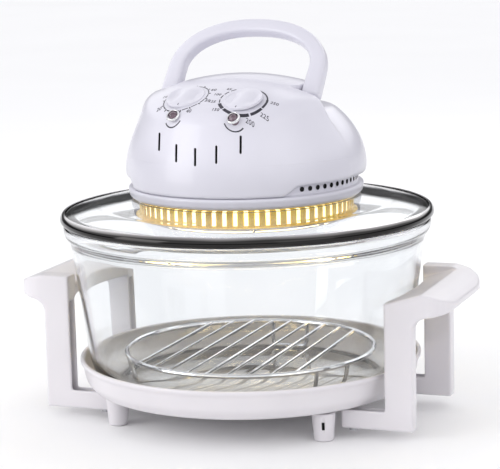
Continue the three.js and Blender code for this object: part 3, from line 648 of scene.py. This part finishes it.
def make_skirt():
    """Upright gold bars between two hoops, with the lip turned out at the foot, and behind them a
    thin sheet of painted lamp glow.
    """
    foot, top = SKIRT_FOOT_Z, SKIRT_TOP_Z
    lip = [(SKIRT_R - 1.2, foot), (SKIRT_R + 3.5, foot), (SKIRT_R + 3.5, foot + 0.9),
           (SKIRT_R, foot + 1.6), (SKIRT_R, foot + 3.2), (SKIRT_R - 1.2, foot + 3.2)]
    head = [(SKIRT_R - 1.2, top - 2.4), (SKIRT_R, top - 2.4), (SKIRT_R, top), (SKIRT_R - 1.2, top)]
    parts = [lathed(softened(lip, 0.4), 192), lathed(softened(head, 0.3), 192)]
    bar_across = np.array([-2.9, -2.2, 2.2, 2.9])
    outline = np.array([(SKIRT_R - 1.1, bar_across[0]), (SKIRT_R - 0.1, bar_across[1]),
                        (SKIRT_R - 0.1, bar_across[2]), (SKIRT_R - 1.1, bar_across[3])])
    for i in range(SKIRT_BARS):
        a = 2 * math.pi * i / SKIRT_BARS
        x = outline[:, 0] * math.cos(a) - outline[:, 1] * math.sin(a)
        y = outline[:, 0] * math.sin(a) + outline[:, 1] * math.cos(a)
        levels = [np.stack([x, y, np.full(4, z)], -1) for z in (foot + 2.6, top - 1.8)]
        middle = [np.repeat(level.mean(0)[None], 4, 0) for level in levels]
        bar = np.concatenate([middle[0], levels[0], levels[1], middle[1]])
        parts.append((bar, grid_faces(4, 4, False, True)))
    points, faces = joined(parts)
    # the bars carry the painted glow of the lamp behind them
    skirt = object_of("glowing_skirt", turned(points), faces, GOLD_WITH_PAINTED_GLOW)
    stand_for(skirt, "lid", "gold_metal", "guard_skirt")
    # painted glow: a thin emitting sheet inside the bars, standing in for the lamp's light seen
    # between them
    near, far = SKIRT_R - 2.2, SKIRT_R - 1.6
    screen = [(near, foot + 1), (far, foot + 1), (far, top - 0.6), (near, top - 0.6)]
    points, faces = lathed(softened(screen, 0.2), 192)
    lit = object_of("painted_glow_sheet_behind_skirt", turned(points), faces, PAINTED_GLOW_SHEET)
    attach(lit, "lid")


def make_wire_guard():
    """Rings and spokes of plated wire under the lamp."""
    rim_z, z = high("wire_guard")[2] - 1.6, low("wire_guard")[2] + 1.3
    parts = [tube(circle(92.5, rim_z), 1.6, 10, True)]
    parts += [tube(circle(r, z), 1.3, 8, True) for r in (22, 35, 48, 61, 74)]
    for i in range(6):
        a = math.radians(60 * i)
        flat = [(21, z), (40, z), (58, z), (76, z), (92.5, rim_z)]
        parts.append(tube([(r * math.cos(a), r * math.sin(a), h) for r, h in flat], 1.3, 8))
    points, faces = joined(parts)
    piece = object_of("wire_guard_rings", turned(points), faces, WIRE)
    stand_for(piece, "lid", "chrome_wire", "wire_guard")


def make_lamp():
    """A bent quartz tube with closed, pinched ends."""
    z = (low("lamp_tube")[2] + high("lamp_tube")[2]) / 2
    points, faces = tube(circle(68, z, 90, 102, 438), 4.4, 14)
    stand_for(object_of("ring_lamp", turned(points), faces, LAMP), "lid", "lamp_glass", "lamp_tube")


# ---------- head: base ring and housing ----------
def make_base_ring():
    """The flange and the neck, turned from one section, with a row of round vents each side."""
    foot, top = RING_FOOT_Z, RING_TOP_Z
    section = [
        (92, foot), (101.5, foot), (104, foot + 2.4), (RING_R, top - 2), (RING_R - 0.8, top),
        (NECK_R, top + 0.7), (NECK_R, NECK_TOP_Z), (NECK_R - 2.6, NECK_TOP_Z), (NECK_R - 2.6, 203.6),
        (92, 203.6),
    ]
    points, faces = lathed(softened(section, 1.2), 240)
    ring = object_of("base_ring_moulding", turned(points), faces, WHITE)
    holes = []
    for side in (-1, 1):
        for i in range(VENTS_PER_SIDE):
            a = math.radians(-90 + side * (VENT_FIRST + VENT_PITCH * i))
            reach = np.array([[math.cos(a), math.sin(a), 0]])
            path = reach * np.array([[NECK_R - 1.9], [NECK_R + 4]]) + [0, 0, VENT_Z]
            holes.append(tube(path, VENT_R, 14))
    points, faces = joined(holes)
    # the vents' walls take the painted shade
    cut_with(ring, turned(points), faces, SHADE)
    stand_for(ring, "lid", "white_plastic", "base_ring")


def ease(value, start, end):
    """Goes from 0 to 1 with flat ends as the value goes from start to end."""
    t = np.clip((value - start) / (end - start), 0, 1)
    return t * t * (3 - 2 * t)


def blend_max(a, b, k):
    """The larger of two fields, rounded where they cross over a width k."""
    h = np.clip(0.5 + 0.5 * (a - b) / k, 0, 1)
    return b + (a - b) * h + k * h * (1 - h)


def blend_min(a, b, k):
    """The smaller of two fields, rounded where they cross."""
    return -blend_max(-a, -b, k)


def housing_field(p):
    """Below zero inside the housing.

    The dome is an ellipsoid, drawn in at the front and cut off level at the ledge. The pod is a cone
    under a shallow double curve, kept to the front and, between the handle's legs, to a squared oval.
    The two are blended, and the foot is level with an apron at the front.
    """
    x, y, z = p[..., 0], p[..., 1], p[..., 2]
    r = np.hypot(x, y)
    away = np.degrees(np.abs(np.arctan2(x, -y)))
    tuck = 1 - FRONT_TUCK * (1 - ease(away, 32, 82))
    rise = np.where(z > DOME_Z, DOME_RISE, 44.0)
    dome = (np.sqrt((r / tuck / DOME_R) ** 2 + ((z - DOME_Z) / rise) ** 2) - 1) * 88
    dome = blend_max(dome, z - LEDGE_Z, 4)
    slope = (POD_EDGE_R - POD_FOOT_R) / (POD_EDGE_Z - APRON_FOOT_Z)
    cone = r - (POD_FOOT_R + slope * (z - APRON_FOOT_Z))
    crown = z - (CREST_Z - y ** 2 / (2 * CREST_RADIUS_Y) - x ** 2 / (2 * CREST_RADIUS_X))
    pod = blend_max(cone, crown, 9)
    across, along = np.abs(x) / SADDLE_X, np.abs(y) / SADDLE_BACK
    oval = (across ** SADDLE_POWER + along ** SADDLE_POWER) ** (1 / SADDLE_POWER)
    pod = blend_max(pod, np.minimum(y - LEG_GAP_Y, (oval - 1) * 52), 3)
    body = blend_min(dome, pod, 11)
    foot = DOME_FOOT_Z - (DOME_FOOT_Z - APRON_FOOT_Z) * (1 - ease(away, 43, 52))
    return blend_max(body, foot - z, 2)


def reach_of(field, origin, directions, far=160.0):
    """How far each ray runs before the field turns positive, by halving."""
    near, beyond = np.zeros(directions.shape[:-1]), np.full(directions.shape[:-1], far)
    for _ in range(34):
        middle = (near + beyond) / 2
        inside = field(origin + directions * middle[..., None]) < 0
        near, beyond = np.where(inside, middle, near), np.where(inside, beyond, middle)
    return near


def slot_cutters():
    """Flat bars with round ends, one for each slot, all laid along one pull direction."""
    turn = np.linspace(0.1, 2 * math.pi + 0.1, 16, endpoint=False)
    across = SLOT_HALF_WIDTH * np.cos(turn)
    height = SLOT_HALF_LENGTH * np.sign(np.sin(turn)) + SLOT_HALF_WIDTH * np.sin(turn)
    along = np.array([math.cos(SLOT_PULL), math.sin(SLOT_PULL), 0])
    sideways = np.array([-along[1], along[0], 0])
    bars = []
    for angle in SLOT_ANGLES:
        a = math.radians(angle - 90)
        z = SLOT_LOWEST_Z + SLOT_RISE * (angle / SLOT_ANGLES[-1]) ** 2
        middle = np.array([SLOT_R * math.cos(a), SLOT_R * math.sin(a), z])
        section = across[:, None] * sideways + height[:, None] * np.array([0, 0, 1.0])
        rings = [middle + depth * along + size * section
                 for depth, size in ((-14, 0), (-14, 1), (16, 1), (16, 0))]
        bars.append((np.concatenate(rings), grid_faces(len(rings), len(turn), False, True)))
    return joined(bars)


def make_housing():
    """Rays from a point inside run out to the surface, and slots are then cut into the front."""
    origin = np.array([0.0, -30.0, 245.0])
    up = np.linspace(-math.pi / 2, math.pi / 2, 230)
    around = np.linspace(0, 2 * math.pi, 400, endpoint=False)
    level, turn = np.meshgrid(up, around, indexing="ij")
    flat = np.cos(level)
    directions = np.stack([flat * np.sin(turn), -flat * np.cos(turn), np.sin(level)], -1)
    points = origin + directions * reach_of(housing_field, origin, directions)[..., None]
    faces = grid_faces(len(up), len(around), False, True)
    housing = object_of("housing_shell", turned(points), faces, HOUSING, 55)
    points, faces = slot_cutters()
    # the slots' walls take the painted shade
    cut_with(housing, turned(points), faces, SHADE)
    stand_for(housing, "lid", "white_plastic", "top_housing")


# ---------- panel: prints, knobs and indicators ----------
def panel_seat(x, y, drop=0.0):
    """The point of the panel's crest over a plan point given from the middle of the controls."""
    place = PANEL_X + x
    fall = y ** 2 / (2 * CREST_RADIUS_Y) + place ** 2 / (2 * CREST_RADIUS_X)
    return np.array([place, y, CREST_Z - fall - drop])


def on_panel(points, x, y, tilt, drop=0.0):
    """A shape made about the origin, its Z outwards, set on the sloping panel."""
    return tipped(points, tilt) + panel_seat(x, y, drop)


def laid(flat, seat, tilt, lift):
    """Points of a flat drawing about the seat, laid on the housing along the tilted upright."""
    flat = np.asarray(flat, float)
    start = tipped(np.concatenate([flat, np.full((*flat.shape[:-1], 1), -22.0)], -1), tilt) + seat
    upward = np.broadcast_to(tipped([0, 0, 1.0], tilt), start.shape)
    far = reach_of(housing_field, start, upward, 48.0)
    return start + upward * (far + lift)[..., None]


def ribbon(inner, outer, seat, tilt):
    """A thin band of ink between two flat curves, closed, a hair proud of the housing."""
    count = len(inner)
    rows = [laid(inner, seat, tilt, PRINT_DEEP), laid(outer, seat, tilt, PRINT_DEEP),
            laid(outer, seat, tilt, PRINT_PROUD), laid(inner, seat, tilt, PRINT_PROUD)]
    points = np.stack(rows, 1)
    ends = [np.repeat(points[i].mean(0)[None, None], 4, 1) for i in (0, -1)]
    return np.concatenate([ends[0], points, ends[1]]), grid_faces(count + 2, 4, False, True)


def arc_mark(seat, tilt, radius, width, start, end):
    """A ribbon round part of a dial, in degrees from the front, anticlockwise."""
    a = np.radians(np.linspace(start, end, max(4, int(abs(end - start) / 3))) - 90)
    ring = np.stack([np.cos(a), np.sin(a)], -1)
    return ribbon(ring * (radius - width / 2), ring * (radius + width / 2), seat, tilt)


def tick_mark(seat, tilt, near, far, width, angle):
    """A short ribbon that points away from a dial's middle."""
    a = math.radians(angle - 90)
    along = np.array([math.cos(a), math.sin(a)])
    across = np.array([-along[1], along[0]]) * width / 2
    line = along * np.linspace(near, far, 4)[:, None]
    return ribbon(line - across, line + across, seat, tilt)


def numeral(words, seat, tilt, reach, angle, size):
    """A printed number round a dial, upright to the reader, laid on the housing."""
    curve = bpy.data.curves.new("numeral", "FONT")
    curve.body = words
    curve.size = size
    curve.align_x, curve.align_y = "CENTER", "CENTER"
    curve.extrude = 0.2
    curve.resolution_u = 2
    holder = bpy.data.objects.new("numeral", curve)
    bpy.context.scene.collection.objects.link(holder)
    mesh = baked_mesh(holder)
    points = np.zeros(len(mesh.vertices) * 3)
    mesh.vertices.foreach_get("co", points)
    points = points.reshape(-1, 3)
    faces = [tuple(face.vertices) for face in mesh.polygons]
    bpy.data.objects.remove(holder)
    bpy.data.meshes.remove(mesh)
    a = math.radians(angle - 90)
    flat = points[:, :2] + [reach * math.cos(a), reach * math.sin(a)]
    lift = np.where(points[:, 2] > 0, PRINT_PROUD, PRINT_DEEP)
    return laid(flat, seat, tilt, lift), faces


def ink_piece(name, parts):
    """One object of ink from many marks, whose faces may have any number of corners."""
    points, faces, count = [], [], 0
    for p, f in parts:
        p = np.asarray(p, float).reshape(-1, 3)
        faces += [[int(v) + count for v in face] for face in f]
        points.append(p)
        count += len(p)
    mesh = bpy.data.meshes.new(name)
    mesh.from_pydata((turned(np.concatenate(points)) * MM).tolist(), [], faces)
    work = bmesh.new()
    work.from_mesh(mesh)
    bmesh.ops.remove_doubles(work, verts=work.verts, dist=1e-6)
    bmesh.ops.recalc_face_normals(work, faces=work.faces)
    work.to_mesh(mesh)
    work.free()
    mesh.materials.append(INK)
    piece = bpy.data.objects.new(name, mesh)
    bpy.context.scene.collection.objects.link(piece)
    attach(piece, "lid")
    return piece


def make_prints():
    """Left dial: a thin ring with ticks and minutes. Right dial: a thick broken arc with degrees."""
    ring = PRINT_RING_R
    seat = panel_seat(-DIAL_X, DIAL_Y)
    marks = []
    for i in range(13):
        start = -130 + i * 24
        marks.append(arc_mark(seat, PANEL_TILT, ring, 0.85, start, start + 16))
        marks.append(tick_mark(seat, PANEL_TILT, ring - 0.4, ring + 2.0, 1.1, start + 20))
    for i, words in enumerate(("0", "10", "20", "30", "40", "50", "60")):
        marks.append(numeral(words, seat, PANEL_TILT, 25, -150 + i * 45, 5.2))
    ink_piece("timer_ring_print", marks)
    seat = panel_seat(DIAL_X, DIAL_Y)
    marks = []
    for start, end, width in (
        (-62, -38, 3.0), (-34, -2, 2.8), (2, 34, 2.6), (38, 70, 2.3), (73, 108, 1.9), (108, 165, 1.3),
    ):
        marks.append(arc_mark(seat, PANEL_TILT, ring, width, start, end))
    for i in range(4):
        marks.append(arc_mark(seat, PANEL_TILT, ring, 0.9, -80 - 20 * i, -66 - 20 * i))
    for words, angle, reach in (
        ("65", -128, 25), ("100", -100, 26.5), ("125", -74, 27), ("150", -44, 26),
        ("175", -2, 25), ("200", 32, 25.5), ("225", 62, 26.5), ("250", 98, 27),
    ):
        marks.append(numeral(words, seat, PANEL_TILT, reach, angle, 4.8))
    ink_piece("thermostat_ring_print", marks)
    for name, side in (("power", -1), ("heat", 1)):
        seat = panel_seat(side * INDICATOR_X, INDICATOR_Y, INDICATOR_DROP)
        ink_piece(name + "_arc_print", [arc_mark(seat, INDICATOR_TILT, 8.8, 1.0, -62, 62)])


def make_knob(name, side):
    """A low round knob, its pointer line and the spindle under it.

    The face is a height over the disc: a straight ridge in the middle, a scoop on each side that is a
    bell curve across and fades at the rim, and a rounded rim.
    """
    rim = 1 - 0.1 * np.cos(np.linspace(0, math.pi / 2, 10))
    rho = np.concatenate([np.linspace(0, 0.9, 26), rim[1:]])
    turn = np.linspace(0, 2 * math.pi, 96, endpoint=False)
    r, a = np.meshgrid(rho * KNOB_R, turn, indexing="ij")
    u, v = r * np.cos(a), r * np.sin(a)
    inside = np.clip(1 - (r / KNOB_R) ** 8, 0, 1)
    scoop = 2.1 * np.exp(-(((np.abs(u) - 11.2) / 4.6) ** 2)) * np.exp(-((v / 9.5) ** 4)) * inside
    ridge = 1.4 * np.exp(-((u / 6.2) ** 2)) * np.exp(-((v / 13) ** 4))
    edge = np.sqrt(np.clip(1 - np.clip((r - 0.9 * KNOB_R) / (0.1 * KNOB_R), 0, 1) ** 2, 0, 1))
    h = (0.6 - scoop + ridge) * edge + 0.5
    top = np.stack([u, v, h], -1)
    under = np.full(96, -1.5)
    foot = [[np.stack([s * np.cos(turn), s * np.sin(turn), under], -1)] for s in (KNOB_R, 0)]
    points = np.concatenate([top, *foot])
    faces = grid_faces(len(points), 96, False, True)
    near, far, half = -KNOB_R + 5, -KNOB_R + 0.8, 0.35
    pointer = [(-half, near), (half, near), (half, far), (-half, far)]
    placed = on_panel(points + [0, 0, KNOB_LIFT], side * DIAL_X, DIAL_Y, PANEL_TILT)
    piece = object_of(name + "_knob_face", turned(placed), faces, WHITE, 50)
    stand_for(piece, name + "_knob", "white_plastic", name + "_knob")
    flat = np.array([(x, y, z) for z in (0.2, 1.45) for x, y in pointer])
    block = [(0, 1, 2, 3), (7, 6, 5, 4), (0, 4, 5, 1), (1, 5, 6, 2), (2, 6, 7, 3), (3, 7, 4, 0)]
    flat = on_panel(flat + [0, 0, KNOB_LIFT], side * DIAL_X, DIAL_Y, PANEL_TILT)
    line = object_of(name + "_pointer_line", turned(flat), block, INK)
    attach(line, name + "_knob")
    points, faces = lathed(softened([(0.01, -18), (3, -18), (3, 2.2), (0.01, 2.2)], 0.4), 32)
    placed = on_panel(points, side * DIAL_X, DIAL_Y, PANEL_TILT)
    spindle = object_of(name + "_shaft", turned(placed), faces, STEEL)
    stand_for(spindle, name + "_knob", "plain_steel", name + "_spindle")


def make_indicator(name, side):
    """A domed lens in a bright turned bezel."""
    x = side * INDICATOR_X
    dome = [(0.01, -6), (4, -6), (4, 1.5), (3.4, 3.1), (2, 4.2), (0.01, 4.7)]
    lens = lathed(softened(dome, 0.7), 40)
    ring = [(4.3, 0.3), (6.2, 0.3), (6.1, 1.4), (5.2, 2.6), (4.5, 2.4), (4.3, 1.6)]
    bezel = lathed(softened(ring, 0.4), 48)
    for part, (points, faces), material, slot, lift in (
        ("lens", lens, LENS, "indicator_lens", 0.0), ("bezel", bezel, CHROME, "chrome", 0.8),
    ):
        points = points + [0, 0, lift]
        placed = turned(on_panel(points, x, INDICATOR_Y, INDICATOR_TILT, INDICATOR_DROP))
        node = f"{name}_indicator_{part}"
        stand_for(object_of(node + "_piece", placed, faces, material), "lid", slot, node)


# ---------- carry handle ----------
def make_carry_handle():
    """A rounded bar along two straight legs and a half-oval arch.

    Its section is a squared oval that is wider at the legs, and both ends close in a quarter round.
    """
    leg = np.linspace(-6.5, BAIL_LEG, 16)[:-1]
    a = np.linspace(0, math.pi, 90)
    bow = np.sign(np.cos(a)) * np.abs(np.cos(a)) ** 0.9
    across = np.concatenate([np.full(15, BAIL_X), BAIL_X * bow, np.full(15, -BAIL_X)])
    along = np.concatenate([leg, BAIL_LEG + BAIL_ARCH * np.sin(a) ** 0.93, leg[::-1]])
    path = np.stack([across, along], -1)
    tangent = np.gradient(path, axis=0)
    tangent /= np.linalg.norm(tangent, axis=1)[:, None]
    outward = np.stack([tangent[:, 1], -tangent[:, 0]], -1)
    half_width = 8.3 - 1.5 * ease(along, -5, BAIL_LEG + BAIL_ARCH * 0.75)
    close = 0.55 + 0.45 * np.sqrt(1 - np.clip((4 - (along + 6.5)) / 4, 0, 1) ** 2)
    t = np.linspace(0, 2 * math.pi, 40, endpoint=False)
    power = 2 / 3.8
    sx = np.sign(np.cos(t)) * np.abs(np.cos(t)) ** power
    sy = np.sign(np.sin(t)) * np.abs(np.sin(t)) ** power
    width = (half_width * close)[:, None] * sx[None]
    flat = path[:, None] + outward[:, None] * width[..., None]
    depth = (7 * close)[:, None] * sy[None]
    points = np.stack([flat[..., 0], -depth, flat[..., 1]], -1)
    caps = [np.repeat(points[i].mean(0)[None, None], len(t), 1) for i in (0, -1)]
    points = np.concatenate([caps[0], points, caps[1]])
    placed = tipped(points, -BAIL_LEAN) + [0, PIVOT_Y, PIVOT_Z]
    faces = grid_faces(len(points), len(t), False, True)
    piece = object_of("carry_handle_bar", turned(placed), faces, WHITE, 50)
    stand_for(piece, "carry_handle", "white_plastic", "carry_handle")


# ---------- CAD nodes that keep their shape ----------
def dress_cad_nodes():
    """Gives each CAD node that still shows the finish of its slot."""
    finishes = {
        "white_plastic": WHITE, "clear_glass": GLASS, "chrome": CHROME, "chrome_wire": WIRE,
        "plain_steel": STEEL, "gold_metal": GOLD_WITH_PAINTED_GLOW, "lamp_glass": LAMP, "ceramic": CERAMIC,
        "black_plastic": BLACK, "black_rubber": RUBBER, "indicator_lens": LENS,
    }
    for row in frame["record"]["subparts"]:
        node = frame["nodes"][row["node"]]
        node.data.materials.clear()
        node.data.materials.append(finishes[row["material_slot"]])


# ---------- studio ----------
def make_studio():
    """A pale floor, a soft white surround that darkens low down, and three large soft lights."""
    floor = object_of("floor", [(-30000, -30000, -0.2), (30000, -30000, -0.2), (30000, 30000, -0.2),
                                (-30000, 30000, -0.2)], [(0, 1, 2, 3)], pale_floor())
    if floor.data.polygons[0].normal.z < 0:
        floor.data.flip_normals()
    world = bpy.data.worlds.new("surround")
    bpy.context.scene.world = world
    world.use_nodes = True
    nodes, links = world.node_tree.nodes, world.node_tree.links
    split = nodes.new("ShaderNodeSeparateXYZ")
    ramp = nodes.new("ShaderNodeValToRGB")
    links.new(nodes.new("ShaderNodeTexCoord").outputs["Generated"], split.inputs[0])
    links.new(split.outputs["Z"], ramp.inputs["Fac"])
    first, last = ramp.color_ramp.elements
    first.position, first.color = 0.0, (0.3, 0.3, 0.32, 1)
    last.position, last.color = 0.85, (0.62, 0.62, 0.64, 1)
    for position, tone in ((0.04, 0.05), (0.17, 0.06), (0.21, 0.85), (0.32, 1.0), (0.55, 1.0)):
        ramp.color_ramp.elements.new(position).color = (tone, tone, tone * 1.02, 1)
    links.new(ramp.outputs["Color"], nodes["Background"].inputs["Color"])
    nodes["Background"].inputs["Strength"].default_value = 1.32
    for name, place, size, power in (
        ("key", (-1.5, -1.4, 0.75), 1.2, 13),
        ("fill", (1.6, -1.1, 0.7), 1.2, 3),
        ("back", (0.3, 1.6, 1.4), 1.2, 4),
    ):
        light = bpy.data.lights.new(name, "AREA")
        light.size = size
        light.energy = power
        holder = bpy.data.objects.new(name, light)
        holder.location = place
        aim = Vector((0, 0, 0.15)) - Vector(place)
        holder.rotation_euler = aim.to_track_quat("-Z", "Y").to_euler()
        bpy.context.scene.collection.objects.link(holder)


def make_camera():
    """A long lens from the front right, a little above, rolled slightly."""
    around, pitch, roll = math.radians(20.8), math.radians(10), math.radians(1.5)
    level = Vector((math.sin(around), -math.cos(around), 0))
    back = level * math.cos(pitch) + Vector((0, 0, math.sin(pitch)))
    right = Vector((math.cos(around), math.sin(around), 0))
    up = back.cross(right)
    across = right * math.cos(roll) - up * math.sin(roll)
    upright = right * math.sin(roll) + up * math.cos(roll)
    data = bpy.data.cameras.new("camera")
    data.lens = 144
    data.sensor_width = 36
    data.sensor_fit = "HORIZONTAL"
    data.clip_end = 100
    camera = bpy.data.objects.new("camera", data)
    place = right * 2.15 * MM + Vector((0, 0, 160.6 * MM)) + back * 1796 * MM
    turn = Matrix((across, upright, back)).transposed().to_4x4()
    camera.matrix_world = Matrix.Translation(place) @ turn
    bpy.context.scene.collection.objects.link(camera)
    bpy.context.scene.camera = camera


bpy.context.scene.view_settings.view_transform = "Standard"
make_camera()
make_studio()
dress_cad_nodes()
make_stand()
make_bowl()
make_rack()
make_lid()
make_skirt()
make_wire_guard()
make_lamp()
make_base_ring()
make_housing()
make_prints()
for control, hand in (("timer", -1), ("thermostat", 1)):
    make_knob(control, hand)
for light_name, hand in (("power", -1), ("heat", 1)):
    make_indicator(light_name, hand)
make_carry_handle()
